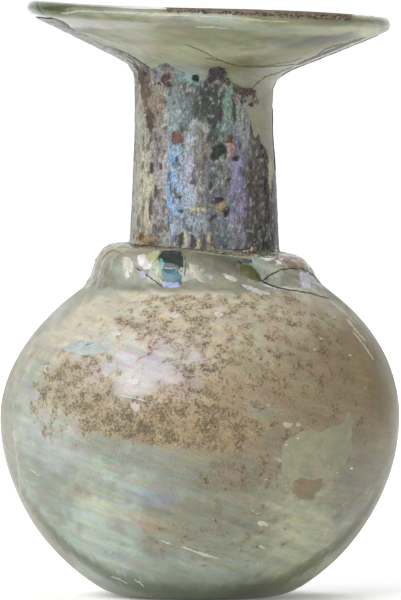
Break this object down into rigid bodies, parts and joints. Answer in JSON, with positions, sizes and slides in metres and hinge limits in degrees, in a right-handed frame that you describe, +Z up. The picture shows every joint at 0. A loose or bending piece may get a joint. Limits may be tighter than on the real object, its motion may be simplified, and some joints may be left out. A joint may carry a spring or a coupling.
{
  "type": "glass unguentarium",
  "caption": "Free-blown glass oil flask with a round body, rolled collar, wide neck and broad conical mouth, weathered and iridescent.",
  "frame": {"origin": "centre of the foot, on the plane that the flask stands on", "axes": "+Z up the flask from its foot to its mouth; -Y faces the picture's camera, and the neck and mouth lean slightly towards +X"},
  "size_m": [0.064, 0.0634, 0.0954],
  "materials": {
    "weathered_glass": "weathered, iridescent crust over pale green glass"
  },
  "bodies": {
    "root": {"glass_vessel": "weathered_glass"}
  },
  "joints": []
}
